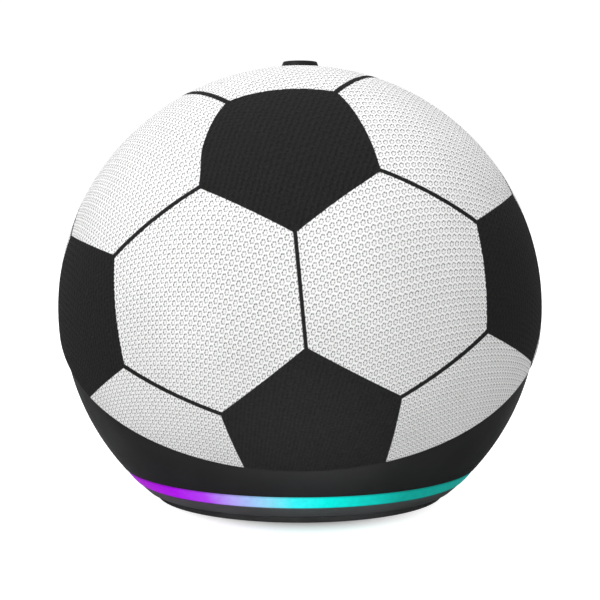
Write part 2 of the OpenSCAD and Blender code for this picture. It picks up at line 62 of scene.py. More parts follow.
MM = 0.001
DOME_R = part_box("fabric_cover")[1][0]
CENTRE = Vector((0, 0, 39 * MM))
HOUSING_R = DOME_R - 0.85 * MM
SPLIT_TILT = math.radians(32.5)
SPLIT_GAP = 0.25 * MM
SPLIT_AXIS = Vector((0, -math.sin(SPLIT_TILT), math.cos(SPLIT_TILT)))
RING_LOW, RING_HIGH = (corner[2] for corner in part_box("light_ring"))
RING_R_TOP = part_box("light_ring")[1][0]
RING_R_BOTTOM = 34.4 * MM
BASE_LOW, FOOT_TOP = 1.6 * MM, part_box("foot_pad")[1][2]
BASE_RIB_IN, BASE_RIB_OUT, BASE_RIB_TOP = 26.2 * MM, 27.4 * MM, 5.3 * MM
BASE_SCREW_R, BASE_SCREW_TURNS = 20 * MM, (45, 135, 225, 315)
FOOT_R = 29.9 * MM
PORT_X, PORT_Z = 8.5 * MM, 17.1 * MM
POWER_RECESS_R, AUDIO_RECESS_R = 4.4 * MM, 3.7 * MM

DECK_TILT = math.radians(11.5)
BUTTON_ANGLE = math.radians(11)
BUTTON_R = 3.9 * MM
BUTTON_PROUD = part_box("action_button")[1][2] - CENTRE.z - DOME_R
CAP_RIM_R, CAP_RIM_RISE, CAP_DISH = BUTTON_R - 0.42 * MM, 0.1 * MM, 0.12 * MM
FLANGE_R, FLANGE_LOW, FLANGE_HIGH = 4.45 * MM, 46 * MM, 46.8 * MM
STEM_R, STEM_LOW, STEM_HIGH, STEM_OFFSET = 1.6 * MM, 42.4 * MM, 45.8 * MM, 9 * MM
BUTTONS = [  # name, compass turn round the deck's axis
    ("action", 270), ("volume_up", 0), ("volume_down", 180), ("microphone", 90),
]

# Loudspeaker's round suspension: radii round its own axis, distances in front of the ball's upright axis
DRIVER_Z = 41 * MM
SUSPENSION_SECTORS = 16
ROLL_R, ROLL_MID_R, ROLL_Z, RUBBER_T = 1.5 * MM, 15.9 * MM, 31.65 * MM, 0.3 * MM
SURROUND_IN, SURROUND_OUT = 13.3 * MM, 19.2 * MM
SPIDER_IN, SPIDER_OUT, SPIDER_Z, SPIDER_WAVE, SPIDER_FOLDS = 5.8 * MM, 13.3 * MM, 18.7 * MM, 0.7 * MM, 10

# Knit: a rhombic lattice on a flat sheet, spread over the dome from its pole
KNIT_PITCH = 1.446 * MM
KNIT_TURN = math.radians(-15.1)
KNIT_OPEN = math.radians(81.3)
KNIT_SPREAD = 0.034
KNIT_STEPS = 4
PORE_ACROSS = (2.32, 1.77)  # each oval pore's two axes, as shares of the lattice's two steps
PORE_ALONG = (0.72, -1.76)
KNIT_DEPTH, GROOVE_R, GROOVE_WIDTH = 0.08 * MM, 0.66, 0.5  # groove sizes as shares of a pore's radius
BUTTON_HOLE_R = BUTTON_R + 0.3 * MM
HEM_ROWS = ((0.18 * MM, 0.10 * MM), (0.45 * MM, 0.14 * MM), (0.80 * MM, 0.0))  # depth, tuck past the edge

# Knit colours as grey levels, and the dark ring round each pore, painted shade in its groove: its radius,
# lobes and their turns, SHADE_TURN pointing to the side painted darkest, where the light from the upper left
# leaves the groove in shade
WHITE_DARK, WHITE_LIGHT, WHITE_PORE_SHADE, WHITE_MIDDLE = 0.83, 0.88, 0.11, 0.66
INK_DARK, INK_LIGHT, INK_FLECK, INK_PORE_SHADE = 0.0115, 0.0155, 0.028, 0.008
PORE_RING_R, PORE_LOBES, LOBE_TURN, SHADE_TURN = 0.76, 6.0, 0.6, 2.5

# Ball print: a football's pentagons and hexagons, turned and slightly stretched from the front
PRINT_TURN = (math.radians(-7.9), math.radians(0.5), math.radians(5.4))
PRINT_SCALE = 0.991
PRINT_STRETCH = 0.073
PRINT_BULGE, PRINT_BULGE_LEAN = 0.011, 0.26  # how far the upper pentagon's sides bow, more so to the left
BOW_UP, BOW_FRONT = (0.46, 0.66), (-0.36, -0.08)  # where the bow fades in upward and out backward, in DOME_R
FACE_RATIO = 1.0265  # distance of a pentagon's plane from the middle over a hexagon's
WIDEST_SEAM_GAP = 0.119  # halfway along a pentagon's side
PENTAGON_SLOPE, SEAM_SLOPE = 0.65, 0.7136  # how fast each gap grows per radian across its line
PRINT_SOFT = 0.07  # half the width of a print edge's fade, in millimetres
SEAM_WIDTH, SEAM_WIDENING = 0.72 * MM, 0.9  # printed wider toward the sides, where the knit is stretched
GOLD = (1 + math.sqrt(5)) / 2

CAMERA_DISTANCE = 300 * MM
CAMERA_ELEVATION = math.radians(4.43)
CAMERA_AIM_UP = 1.47 * MM
CAMERA_LENS, CAMERA_SENSOR = 85.9, 36
AMBIENT, KEY_POWER, TOP_POWER, FILL_POWER, CARD_POWER = 0.56, 7.7, 6.7, 2.9, 0.08
BACKDROP, AMBIENT_LEAN = 1.02, 0.35  # backdrop's brightness, and how much the ambient light favours one side
BRIGHT_SIDE = (-0.74, -0.37, 0.56)
# floor glow for the camera, low near the speaker and full far off: this paints a shadow under the speaker,
# narrower across than toward the camera
FLOOR_GLOW_NEAR, FLOOR_GLOW_FAR = 0.1, 0.95
FLOOR_PAINTED_SHADOW_R, FLOOR_PAINTED_SHADOW_NARROW = (24 * MM, 48 * MM), 1.55

# ------------------------------------------------------------------ camera, light and floor


def make_camera():
    away = Vector((0, -math.cos(CAMERA_ELEVATION), math.sin(CAMERA_ELEVATION)))
    up = Vector((0, math.sin(CAMERA_ELEVATION), math.cos(CAMERA_ELEVATION)))
    data = bpy.data.cameras.new("camera")
    data.lens = CAMERA_LENS
    data.sensor_width = CAMERA_SENSOR
    data.clip_start = 0.01
    camera = bpy.data.objects.new("camera", data)
    camera.location = CENTRE + away * CAMERA_DISTANCE
    look = CENTRE + up * CAMERA_AIM_UP - camera.location
    camera.rotation_euler = look.to_track_quat("-Z", "Y").to_euler()
    bpy.context.collection.objects.link(camera)
    bpy.context.scene.camera = camera


def area_light(name, place, size, power):
    data = bpy.data.lights.new(name, "AREA")
    data.shape = "DISK"
    data.size = size
    data.energy = power
    light = bpy.data.objects.new(name, data)
    light.location = place
    light.rotation_euler = (CENTRE - Vector(place)).to_track_quat("-Z", "Y").to_euler()
    bpy.context.collection.objects.link(light)
    return light


def make_light():
    world = bpy.data.worlds.new("studio")
    world.use_nodes = True
    nodes, links = world.node_tree.nodes, world.node_tree.links
    seen, light = nodes["Background"], nodes.new("ShaderNodeBackground")
    seen.inputs["Color"].default_value = (1, 1, 1, 1)
    seen.inputs["Strength"].default_value = BACKDROP
    light.inputs["Color"].default_value = (1, 1, 1, 1)
    toward = nodes.new("ShaderNodeVectorMath")
    toward.operation = "DOT_PRODUCT"
    links.new(nodes.new("ShaderNodeTexCoord").outputs["Generated"], toward.inputs[0])
    toward.inputs[1].default_value = BRIGHT_SIDE
    strength = nodes.new("ShaderNodeMapRange")
    links.new(toward.outputs["Value"], strength.inputs["Value"])
    for key, value in (("From Min", -1), ("To Min", AMBIENT * (1 - AMBIENT_LEAN)),
                       ("To Max", AMBIENT * (1 + AMBIENT_LEAN))):
        strength.inputs[key].default_value = value
    links.new(strength.outputs[0], light.inputs["Strength"])
    mix = nodes.new("ShaderNodeMixShader")
    links.new(nodes.new("ShaderNodeLightPath").outputs["Is Camera Ray"], mix.inputs[0])
    links.new(light.outputs[0], mix.inputs[1])
    links.new(seen.outputs[0], mix.inputs[2])
    links.new(mix.outputs[0], nodes["World Output"].inputs["Surface"])
    bpy.context.scene.world = world
    bpy.context.scene.view_settings.view_transform = "Standard"
    area_light("key", (-0.7, -0.75, 0.9), 0.7, KEY_POWER)
    area_light("top", (0.0, 0.1, 1.3), 1.2, TOP_POWER)
    area_light("fill", (0.12, -0.9, 0.06), 0.6, FILL_POWER)
    card = area_light("bounce_card", (0, -0.052, 0.0006), 0.06, CARD_POWER)
    card.visible_camera = card.visible_diffuse = False


# ------------------------------------------------------------------ material building blocks


class Net:
    """A material's node tree, built by short calls. Any input may be a number, a colour or a socket."""

    def __init__(self, name):
        self.material = bpy.data.materials.new(name)
        self.material.use_nodes = True
        self.tree = self.material.node_tree
        self.shader = self.tree.nodes["Principled BSDF"]

    def set(self, socket, value):
        if isinstance(value, bpy.types.NodeSocket):
            self.tree.links.new(value, socket)
        elif value is not None:
            socket.default_value = value

    def node(self, kind, inputs=(), **settings):
        made = self.tree.nodes.new(kind)
        for key, value in settings.items():
            setattr(made, key, value)
        for key, value in dict(inputs).items():
            self.set(made.inputs[key], value)
        return made

    def math(self, operation, a, b=None, c=None):
        made = self.node("ShaderNodeMath", operation=operation)
        for socket, value in zip(made.inputs, (a, b, c)):
            self.set(socket, value)
        return made.outputs[0]

    def vector(self, operation, a, b=None):
        made = self.node("ShaderNodeVectorMath", operation=operation)
        for socket, value in zip(made.inputs, (a, b)):
            self.set(socket, value)
        return made.outputs["Value" if operation in ("DOT_PRODUCT", "LENGTH") else "Vector"]

    def smooth(self, value, low, high, to_low=0.0, to_high=1.0):
        made = self.node("ShaderNodeMapRange", interpolation_type="SMOOTHSTEP")
        for key, v in zip(("Value", "From Min", "From Max", "To Min", "To Max"),
                          (value, low, high, to_low, to_high)):
            self.set(made.inputs[key], v)
        return made.outputs["Result"]

    def mix(self, factor, a, b):
        made = self.node("ShaderNodeMix", data_type="RGBA")
        for socket, value in zip((made.inputs[0], made.inputs[6], made.inputs[7]), (factor, a, b)):
            self.set(socket, value)
        return made.outputs[2]

    def noise(self, where, scale, detail=3.0, roughness=0.5):
        made = self.node("ShaderNodeTexNoise", {"Vector": where, "Scale": scale, "Detail": detail,
                                                "Roughness": roughness})
        return made.outputs["Fac"]

    def place(self):
        return self.node("ShaderNodeTexCoord").outputs["Object"]

    def split(self, vector):
        return self.node("ShaderNodeSeparateXYZ", {0: vector}).outputs

    def bump(self, height, strength, distance):
        inputs = {"Height": height, "Strength": strength, "Distance": distance}
        return self.node("ShaderNodeBump", inputs).outputs["Normal"]

    def finish(self, **sockets):
        for key, value in sockets.items():
            self.set(self.shader.inputs[key.replace("_", " ")], value)
        return self.material


def grey(value):
    return (value, value, value, 1)


def rgb(red, green, blue):
    return (red, green, blue, 1)


# ------------------------------------------------------------------ visible materials


def print_mask(net):
    """1 where the ball print is black: inside a pentagon or on a seam between hexagons."""
    where = net.node("ShaderNodeAttribute", attribute_name="print_way").outputs["Vector"]
    folded = net.vector("ABSOLUTE", net.vector("NORMALIZE", where))

    def centres(a, b, c):  # faces that share one kind of direction, all turned into one eighth of the ball
        length = math.sqrt(a * a + b * b + c * c)
        a, b, c = a / length, b / length, c / length
        return [(a, b, c), (c, a, b), (b, c, a)]

    pentagons = centres(0, 1, GOLD)
    hexagons = centres(1 / GOLD, 0, GOLD) + centres(-1 / GOLD, 0, GOLD) + centres(1, 1, 1)[:1]
    nearest = None
    for centre in pentagons:
        dot = net.vector("DOT_PRODUCT", folded, centre)
        nearest = dot if nearest is None else net.math("MAXIMUM", nearest, dot)
    first = second = None
    for centre in hexagons:
        dot = net.vector("DOT_PRODUCT", folded, centre)
        if first is None:
            first, second = dot, -1.0
            continue
        second = net.math("MAXIMUM", second, net.math("MINIMUM", first, dot))
        first = net.math("MAXIMUM", first, dot)
    pentagon_gap = net.math("SUBTRACT", nearest, net.math("MULTIPLY", first, FACE_RATIO))
    seam_gap = net.math("SUBTRACT", first, second)
    x, y, z = net.split(net.place())
    upper = net.smooth(z, *(CENTRE.z + DOME_R * share for share in BOW_UP))
    front = net.smooth(y, *(DOME_R * share for share in BOW_FRONT), 1.0, 0.0)
    side = net.math("DIVIDE", net.math("MINIMUM", seam_gap, WIDEST_SEAM_GAP), WIDEST_SEAM_GAP)
    bow = net.math("MULTIPLY", side, net.math("SUBTRACT", 2.0, side))
    bow = net.math("MULTIPLY", bow, net.math("MULTIPLY_ADD", x, -PRINT_BULGE_LEAN, PRINT_BULGE))
    bow = net.math("MULTIPLY", bow, net.math("MULTIPLY", upper, front))
    pentagon_gap = net.math("ADD", pentagon_gap, bow)
    pentagon_mm = net.math("MULTIPLY", pentagon_gap, DOME_R / MM / PENTAGON_SLOPE)
    seam_mm = net.math("MULTIPLY", seam_gap, DOME_R / MM / SEAM_SLOPE)
    pentagon = net.smooth(pentagon_mm, -PRINT_SOFT, PRINT_SOFT)
    sideways = net.math("MULTIPLY_ADD", net.math("ABSOLUTE", y), -1 / DOME_R, 1.0)
    wider = net.math("MULTIPLY_ADD", sideways, SEAM_WIDENING, 1.0)
    past_edge = net.math("SUBTRACT", seam_mm, net.math("MULTIPLY", wider, SEAM_WIDTH / MM / 2))
    seam = net.smooth(past_edge, -PRINT_SOFT, PRINT_SOFT, 1.0, 0.0)
    return net.math("MAXIMUM", pentagon, seam)


def pore_shape(net):
    """Each knit pore's own polar coordinates: 1 at its rim, and the angle round it."""
    s, t, _ = net.split(net.node("ShaderNodeUVMap", uv_map="knit").outputs["UV"])
    ds = net.math("SUBTRACT", s, net.math("ROUND", s))
    dt = net.math("SUBTRACT", t, net.math("ROUND", t))

    def along(axis):
        return net.math("ADD", net.math("MULTIPLY", ds, axis[0]), net.math("MULTIPLY", dt, axis[1]))

    across, up = along(PORE_ACROSS), along(PORE_ALONG)
    square = net.math("ADD", net.math("MULTIPLY", across, across), net.math("MULTIPLY", up, up))
    radius = net.math("SQRT", square)
    return radius, net.math("ARCTAN2", up, across)


def fabric_material():
    net = Net("dome_fabric")
    black = print_mask(net)
    radius, around = pore_shape(net)
    off_ring = net.math("ABSOLUTE", net.math("SUBTRACT", radius, PORE_RING_R))
    ring = net.smooth(off_ring, 0.06, 0.38, 1.0, 0.0)
    lobe_turn = net.math("ADD", net.math("MULTIPLY", around, PORE_LOBES), LOBE_TURN)
    lobes = net.smooth(net.math("COSINE", lobe_turn), -1.0, 1.0, 0.35, 1.0)
    # painted shade: each pore's ring is darker on the SHADE_TURN side, as if the light from the upper left
    # left that side in shade
    shade = net.smooth(net.math("COSINE", net.math("SUBTRACT", around, SHADE_TURN)), -1.0, 1.0, 0.75, 1.15)
    knit = net.node("ShaderNodeUVMap", uv_map="knit").outputs["UV"]
    yarn = net.smooth(net.noise(knit, 1.7, 2.0, 0.7), 0.25, 0.75, 0.65, 1.2)
    # pore: painted shade in the groove round each pore, a dark ring with six lobes
    pore = net.math("MULTIPLY", net.math("MULTIPLY", ring, lobes), net.math("MULTIPLY", shade, yarn))
    place = net.place()
    cloud = net.noise(place, 60.0, 3.0)
    white = net.mix(net.smooth(cloud, 0.3, 0.7), grey(WHITE_DARK), grey(WHITE_LIGHT))
    middle = net.smooth(radius, 0.0, 0.45, 1.0, 0.0)
    white = net.mix(net.math("MULTIPLY", middle, 0.5), white, grey(WHITE_MIDDLE))
    shaded = net.mix(pore, white, grey(WHITE_PORE_SHADE))
    s, t, _ = net.split(knit)
    ribs = net.math("SINE", net.math("MULTIPLY", net.math("ADD", s, t), 2 * math.pi))
    fleck = net.noise(place, 2500.0, 3.0, 0.7)
    ink = net.mix(net.smooth(ribs, -1.0, 1.0), grey(INK_DARK), grey(INK_LIGHT))
    ink = net.mix(net.smooth(fleck, 0.35, 0.75, 0.0, 0.6), ink, grey(INK_FLECK))
    # the same painted shade round each pore, fainter, on the black print
    ink = net.mix(net.math("MULTIPLY", pore, 0.35), ink, grey(INK_PORE_SHADE))
    height = net.math("SUBTRACT", net.noise(place, 9000.0, 2.0), net.math("MULTIPLY", pore, 1.6))
    return net.finish(
        Base_Color=net.mix(black, shaded, ink),
        Roughness=net.mix(black, grey(0.85), grey(0.70)),
        Specular_IOR_Level=0.02,
        Sheen_Weight=0.02,
        Sheen_Roughness=0.4,
        Normal=net.bump(height, 0.4, 0.10 * MM),
    )


def moulded_material(name, colour, rough, grain=0.12 * MM, specular=0.5):
    """Moulded plastic or rubber: fine grain, faint clouding and slightly polished patches."""
    wear, depth = 0.25, 0.012 * MM
    net = Net(name)
    place = net.place()
    cloud = net.noise(place, 90.0, 4.0)
    fine = net.noise(place, 1 / grain, 2.0, 0.6)
    smear = net.noise(place, 35.0, 5.0, 0.65)
    darker = tuple(c * (1 - wear) for c in colour[:3]) + (1,)
    lighter = tuple(min(1.0, c * (1 + wear)) for c in colour[:3]) + (1,)
    return net.finish(
        Base_Color=net.mix(net.smooth(cloud, 0.3, 0.7), darker, lighter),
        Roughness=net.smooth(smear, 0.25, 0.75, rough * 0.85, min(1.0, rough * 1.15)),
        Specular_IOR_Level=specular,
        Normal=net.bump(fine, 0.5, depth),
    )


def ring_material():
    """Lit diffuser: violet on the left, pale in between, cyan at the front and teal on the right."""
    net = Net("ring_diffuser")
    x, y, z = net.split(net.place())
    turn = net.math("ARCTAN2", x, net.math("MULTIPLY", y, -1.0))
    share = net.math("ADD", net.math("DIVIDE", turn, 2 * math.pi), 0.5)
    ramp = net.node("ShaderNodeValToRGB", {"Fac": share})
    stops = [  # degrees round the ring from the front, toward the right, and the colour there
        (-180, (0.06, 0.12, 0.55)), (-110, (0.25, 0.02, 0.50)), (-60, (0.38, 0.006, 0.62)),
        (-42, (0.43, 0.003, 0.84)), (-30, (0.46, 0.05, 0.92)), (-20, (0.47, 0.42, 0.96)),
        (-10, (0.30, 0.72, 0.97)), (-2, (0.04, 0.97, 1.0)), (8, (0.0, 0.92, 0.82)),
        (20, (0.003, 0.62, 0.55)), (34, (0.003, 0.34, 0.29)), (60, (0.005, 0.29, 0.25)),
        (120, (0.004, 0.22, 0.30)), (180, (0.06, 0.12, 0.55)),
    ]
    elements = ramp.color_ramp.elements
    while len(elements) < len(stops):
        elements.new(0.5)
    for element, (degrees, colour) in zip(elements, stops):
        element.position = degrees / 360 + 0.5
        element.color = (*colour, 1)
    middle = (RING_LOW + RING_HIGH) / 2
    off = net.math("DIVIDE", net.math("SUBTRACT", z, middle), (RING_HIGH - RING_LOW) / 2)
    core = net.smooth(net.math("ABSOLUTE", off), 0.7, 1.05, 1.0, 0.7)
    frost = net.smooth(net.noise(net.place(), 900.0, 2.0), 0.2, 0.8, 0.93, 1.05)
    glow = net.vector("SCALE", ramp.outputs["Color"])
    net.set(glow.node.inputs["Scale"], net.math("MULTIPLY", core, frost))
    return net.finish(
        Base_Color=net.mix(frost, grey(0.002), grey(0.006)),
        Roughness=net.smooth(net.noise(net.place(), 4000.0), 0.2, 0.8, 0.3, 0.45),
        Specular_IOR_Level=0.015,
        Emission_Color=glow,
        Emission_Strength=1.0,
    )


# ------------------------------------------------------------------ mesh building blocks


def add_piece(name, verts, faces, body, material, replaces=()):
    """Makes a smooth-shaded piece."""
    mesh = bpy.data.meshes.new(name)
    mesh.from_pydata([tuple(v) for v in verts], [], faces)
    mesh.validate()
    mesh.shade_smooth()
    piece = bpy.data.objects.new(name, mesh)
    bpy.context.collection.objects.link(piece)
    mesh.materials.append(material)
    if body:
        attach(piece, body)
    if replaces:
        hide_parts(*replaces)
    return piece


def rounded(corners):
    """An open outline whose inner corners are rounded: each corner is (r, z, fillet radius)."""
    points, steps = [], 5
    for i, (r, z, fillet) in enumerate(corners):
        here = Vector((r, z))
        if fillet <= 0 or i in (0, len(corners) - 1):
            points.append(here)
            continue
        before = (Vector(corners[i - 1][:2]) - here).normalized()
        after = (Vector(corners[i + 1][:2]) - here).normalized()
        for k in range(steps + 1):
            share = k / steps
            start, end = here + before * fillet, here + after * fillet
            points.append(start.lerp(here, share).lerp(here.lerp(end, share), share))
    return points


def lathe(outline, segments=192, frame_matrix=None, closed=True):
    """Turns an outline of (r, z) about the Z axis. A closed outline makes a ring, an open one a cap."""
    matrix = frame_matrix or Matrix.Identity(4)
    verts, faces, rows = [], [], []
    for r, z in outline:
        if r < 1e-7:
            rows.append([len(verts)] * segments)
            verts.append(matrix @ Vector((0, 0, z)))
            continue
        rows.append(list(range(len(verts), len(verts) + segments)))
        for k in range(segments):
            turn = 2 * math.pi * k / segments
            verts.append(matrix @ Vector((r * math.cos(turn), r * math.sin(turn), z)))
    pairs = list(zip(rows, rows[1:] + (rows[:1] if closed else [])))
    for low, high in pairs:
        for k in range(segments):
            n = (k + 1) % segments
            loop = [low[k], low[n], high[n], high[k]]
            face = [v for i, v in enumerate(loop) if v != loop[i - 1]]
            if len(face) > 2:
                faces.append(face)
    return verts, faces


def joined(*parts):
    """Several meshes as one."""
    verts, faces = [], []
    for more_verts, more_faces in parts:
        start = len(verts)
        verts.extend(more_verts)
        faces.extend([[i + start for i in face] for face in more_faces])
    return verts, faces


def button_frame(degrees):
    """Matrix whose Z axis runs from the ball's centre out through one button."""
    return (Matrix.Translation(CENTRE) @ Matrix.Rotation(-DECK_TILT, 4, "X")
            @ Matrix.Rotation(math.radians(degrees), 4, "Z") @ Matrix.Rotation(BUTTON_ANGLE, 4, "Y"))


def stem_frame(degrees):
    """Matrix on the deck's axis direction, under one button's stem."""
    return (Matrix.Translation(CENTRE) @ Matrix.Rotation(-DECK_TILT, 4, "X")
            @ Matrix.Rotation(math.radians(degrees), 4, "Z") @ Matrix.Translation((STEM_OFFSET, 0, 0)))


# ------------------------------------------------------------------ knitted dome


def sphere_angle(flat):
    """Angle from the dome's pole for a radius on the flat sheet, both in radians."""
    angle = flat.copy()
    for _ in range(20):
        angle -= (angle * (1 + KNIT_SPREAD * angle**2) - flat) / (1 + 3 * KNIT_SPREAD * angle**2)
    return angle


def print_way(ways):
    """Turns directions on the dome into the ball print's own frame, where its hexagon seam faces +Z."""
    front = np.array([0.0, -1.0, 0.0])
    cosine = ways @ front
    flat = ways - cosine[:, None] * front
    length = np.linalg.norm(flat, axis=1)
    seen = np.arctan2(length, cosine)
    angle = seen.copy()
    for _ in range(20):
        error = angle * (PRINT_SCALE + PRINT_STRETCH * angle**2) - seen
        angle -= error / (PRINT_SCALE + 3 * PRINT_STRETCH * angle**2)
    flat /= np.maximum(length, 1e-9)[:, None]
    ways = np.cos(angle)[:, None] * front + np.sin(angle)[:, None] * flat
    facing = np.stack([ways[:, 0], ways[:, 2], -ways[:, 1]], axis=1)
    size = math.sqrt(sum(a * a for a in PRINT_TURN))
    turn = Matrix.Rotation(size, 3, Vector(PRINT_TURN).normalized())
    return facing @ np.array(turn)


def knit_relief(s, t):
    """Depth of the groove round each pore's middle, in metres, from lattice coordinates."""
    ds, dt = s - np.round(s), t - np.round(t)
    across = PORE_ACROSS[0] * ds + PORE_ACROSS[1] * dt
    up = PORE_ALONG[0] * ds + PORE_ALONG[1] * dt
    groove = np.clip(1 - np.abs(np.hypot(across, up) - GROOVE_R) / GROOVE_WIDTH, 0, 1)
    return -KNIT_DEPTH * groove * groove * (3 - 2 * groove)


def knit_ways():
    """The flat lattice's two steps, in radians on the dome."""
    turns = (KNIT_TURN + KNIT_OPEN / 2, KNIT_TURN - KNIT_OPEN / 2)
    return [KNIT_PITCH / DOME_R * np.array([math.cos(turn), math.sin(turn)]) for turn in turns]


def knit_lattice(way_s, way_t, edge_angle, edge_flat):
    """A row's count, then each point's coordinates, direction, angle to the rim, and whether inside it."""
    axis, right = np.array(SPLIT_AXIS), np.array([1.0, 0.0, 0.0])
    up = np.cross(axis, right)
    reach = int(edge_flat / (KNIT_PITCH / DOME_R) / math.cos(KNIT_OPEN / 2) + 2)
    count = 2 * reach * KNIT_STEPS + 1
    ticks = (np.arange(count) - reach * KNIT_STEPS) / KNIT_STEPS
    s, t = (a.ravel() for a in np.meshgrid(ticks, ticks, indexing="ij"))
    flat = s[:, None] * way_s + t[:, None] * way_t
    angle = sphere_angle(np.minimum(np.linalg.norm(flat, axis=1), edge_flat * 1.2))
    inside = angle < edge_angle
    angle = np.minimum(angle, edge_angle)
    turn = np.arctan2(flat[:, 1], flat[:, 0])
    ways = (np.cos(angle)[:, None] * axis
            + np.sin(angle)[:, None] * (np.cos(turn)[:, None] * right + np.sin(turn)[:, None] * up))
    return count, s, t, ways, edge_angle - angle, inside


def open_holes(ways, rim, inside, holes, hole_angle):
    """Pulls the points over each button to its hole's edge, in place. Returns angles to the nearest edge."""
    for hole in holes:
        cosine = ways @ hole
        away = ways - cosine[:, None] * hole
        away /= np.maximum(np.linalg.norm(away, axis=1), 1e-9)[:, None]
        off = np.arccos(np.clip(cosine, -1, 1))
        within = off < hole_angle
        inside &= ~within
        ways[within] = math.cos(hole_angle) * hole + math.sin(hole_angle) * away[within]
        rim = np.minimum(rim, np.maximum(off - hole_angle, 0))
    return rim


def add_hems(points, ways, s, t, quads, holes, hole_angle):
    """Turns the sheet's open edges in, by rows of faces under the rim and under each hole's edge."""
    edges = np.concatenate([quads[:, [k, (k + 1) % 4]] for k in range(4)])
    _, first, counts = np.unique(np.sort(edges, axis=1), axis=0, return_index=True, return_counts=True)
    border = edges[first[counts == 1]]
    loop = np.unique(border)
    base = ways[loop]
    outward = -np.tile(np.array(SPLIT_AXIS), (len(loop), 1))
    for hole in holes:
        close = base @ hole > math.cos(hole_angle * 1.2)
        outward[close] = hole - base[close] * (base[close] @ hole)[:, None]
    outward /= np.linalg.norm(outward, axis=1)[:, None]
    faces = [list(q) for q in quads]
    ring, total = border, len(points)
    for depth, tuck in HEM_ROWS:
        points = np.vstack([points, np.array(CENTRE) + base * (DOME_R - depth) + outward * tuck])
        ways, s, t = np.vstack([ways, base]), np.append(s, s[loop]), np.append(t, t[loop])
        lookup = {int(v): total + i for i, v in enumerate(loop)}
        fresh = np.array([[lookup[int(a)], lookup[int(b)]] for a, b in border])
        faces += [[int(b), int(a), int(c), int(d)] for (a, b), (c, d) in zip(ring, fresh)]
        ring = fresh
        total += len(loop)
    return points, ways, s, t, faces


def knit_dome(material):
    """The knitted cover: a sheet on the knit's own lattice, pierced for the buttons, with turned-in hems."""
    way_s, way_t = knit_ways()
    edge_angle = math.pi / 2 - SPLIT_GAP / DOME_R
    edge_flat = edge_angle * (1 + KNIT_SPREAD * edge_angle**2)
    count, s, t, ways, rim, inside = knit_lattice(way_s, way_t, edge_angle, edge_flat)
    hole_angle = BUTTON_HOLE_R / DOME_R
    holes = [np.array((button_frame(d) @ Vector((0, 0, 1)) - CENTRE).normalized()) for _, d in BUTTONS]
    rim = open_holes(ways, rim, inside, holes, hole_angle)

    index = np.arange(count * count).reshape(count, count)
    corners = [index[:-1, :-1], index[1:, :-1], index[1:, 1:], index[:-1, 1:]]
    quads = np.stack(corners, axis=-1).reshape(-1, 4)
    quads = quads[inside[quads].any(axis=1)][:, ::-1]
    flat_edge = 0.5 * MM  # the relief fades out over this far from an edge
    fade = np.clip(rim * DOME_R / flat_edge, 0, 1)
    points = np.array(CENTRE) + ways * (DOME_R + knit_relief(s, t) * fade)[:, None]
    used, new = np.unique(quads, return_inverse=True)
    points, ways, s, t, faces = add_hems(points[used], ways[used], s[used], t[used], new.reshape(-1, 4),
                                         holes, hole_angle)

    piece = add_piece("knit_dome", points, faces, "case", material, ("fabric_cover",))
    mesh = piece.data
    attribute = mesh.attributes.new("print_way", "FLOAT_VECTOR", "POINT")
    attribute.data.foreach_set("vector", print_way(ways).ravel())
    corner = np.zeros(len(mesh.loops), dtype=np.int32)
    mesh.loops.foreach_get("vertex_index", corner)
    knit = mesh.uv_layers.new(name="knit")
    knit.data.foreach_set("uv", np.stack([s, t], axis=1)[corner].ravel())
    sheet = s[:, None] * way_s + t[:, None] * way_t
    bake = mesh.uv_layers.new(name="OFBake")
    bake.data.foreach_set("uv", (0.5 + 0.49 * sheet / edge_flat)[corner].ravel())


# ------------------------------------------------------------------ housing, ring, base and foot


def housing_mesh():
    """Ball shell from the base up to the slanted split, with rounded lips at both edges."""
    segments, rows, inner_rows = 256, 72, 8
    wall, lip_drop = 2.0 * MM, 0.35 * MM * 0.6
    low = math.asin((RING_HIGH + 0.1 * MM - CENTRE.z) / HOUSING_R)

    def split_angle(turn):
        a, b = math.cos(SPLIT_TILT), math.sin(SPLIT_TILT) * math.sin(turn)
        return math.atan2(b, a) + math.asin(-SPLIT_GAP / HOUSING_R / math.hypot(a, b))

    outline = [(HOUSING_R, k / rows) for k in range(rows + 1)]
    outline += [(HOUSING_R - wall, 1 - k / inner_rows) for k in range(inner_rows + 1)]
    verts, faces = [], []
    for k in range(segments):
        turn = 2 * math.pi * k / segments
        high = split_angle(turn)
        for i, (radius, share) in enumerate(outline):
            angle = low + (high - low) * share
            level = math.cos(angle)
            way = Vector((level * math.cos(turn), level * math.sin(turn), math.sin(angle)))
            verts.append(CENTRE + way * (radius - (lip_drop if i in (0, rows) else 0.0)))
    width = len(outline)
    for k in range(segments):
        for i in range(width):
            a, b = k * width + i, k * width + (i + 1) % width
            c, d = (k + 1) % segments * width + (i + 1) % width, (k + 1) % segments * width + i
            faces.append([a, d, c, b])
    return verts, faces


